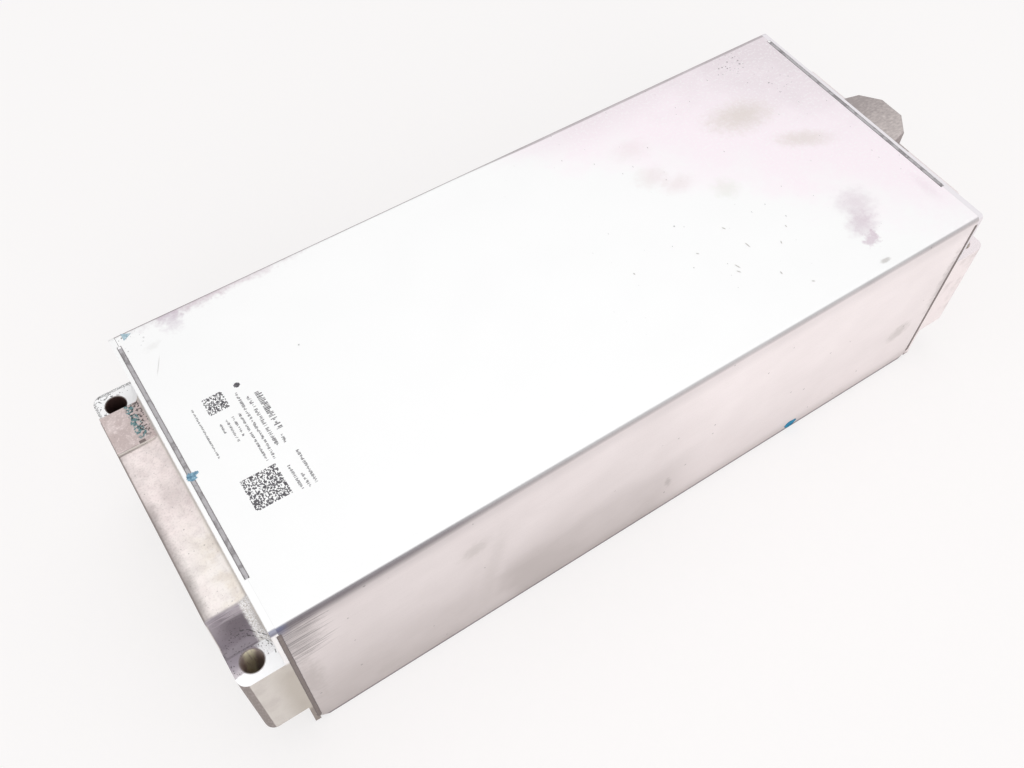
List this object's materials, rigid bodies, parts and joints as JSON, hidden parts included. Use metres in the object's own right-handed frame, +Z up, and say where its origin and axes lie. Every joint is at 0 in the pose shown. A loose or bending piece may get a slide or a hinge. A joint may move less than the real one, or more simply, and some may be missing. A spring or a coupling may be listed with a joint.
{
  "type": "battery module",
  "caption": "Flat brick-shaped pouch-cell battery module in a welded aluminium case, with a cast end plate and bolting lugs at each end, for hybrid or electric vehicles",
  "frame": {"origin": "middle of the flat face that the module rests on", "axes": "+X along the case towards the end with the boss and the terminals, +Y across it, +Z up from the cover to the printed face"},
  "size_m": [0.39, 0.1502, 0.1081],
  "materials": {
    "satin_aluminium": "satin",
    "cast_aluminium": "matte",
    "weld_metal": "matte",
    "pouch_foil": "satin",
    "foam": "matte",
    "film": "satin",
    "resin": "matte",
    "carrier_plastic": "matte",
    "insulator_plastic": "matte",
    "copper": "satin",
    "terminal_plastic": "matte",
    "strip_film": "satin",
    "header_plastic": "matte",
    "plated_steel": "satin",
    "tin_plate": "gloss"
  },
  "bodies": {
    "root": {"housing_channel": "satin_aluminium", "cover_plate": "satin_aluminium", "end_plate_left": "cast_aluminium", "end_plate_right": "cast_aluminium", "weld_seams_left": "weld_metal", "weld_seams_right": "weld_metal", "weld_seams_cover": "weld_metal", "insulating_film": "film", "thermal_resin": "resin", "busbar_carrier_left": "carrier_plastic", "busbar_carrier_right": "carrier_plastic", "end_insulator_left": "insulator_plastic", "end_insulator_right": "insulator_plastic", "busbar_left_1": "copper", "busbar_left_2": "copper", "busbar_left_3": "copper", "busbar_right_1": "copper", "busbar_right_2": "copper", "terminal_busbar_negative": "copper", "terminal_busbar_positive": "copper", "terminal_block_negative": "terminal_plastic", "terminal_block_positive": "terminal_plastic", "terminal_nuts": "plated_steel", "sense_strip": "strip_film", "sense_connector": "header_plastic", "sense_pins": "tin_plate", "pouch_cell_01": "pouch_foil", "pouch_cell_02": "pouch_foil", "pouch_cell_03": "pouch_foil", "pouch_cell_04": "pouch_foil", "pouch_cell_05": "pouch_foil", "pouch_cell_06": "pouch_foil", "pouch_cell_07": "pouch_foil", "pouch_cell_08": "pouch_foil", "pouch_cell_09": "pouch_foil", "pouch_cell_10": "pouch_foil", "pouch_cell_11": "pouch_foil", "pouch_cell_12": "pouch_foil", "compression_pad_01": "foam", "compression_pad_02": "foam", "compression_pad_03": "foam", "compression_pad_04": "foam", "compression_pad_05": "foam", "compression_pad_06": "foam", "compression_pad_07": "foam"}
  },
  "joints": []
}
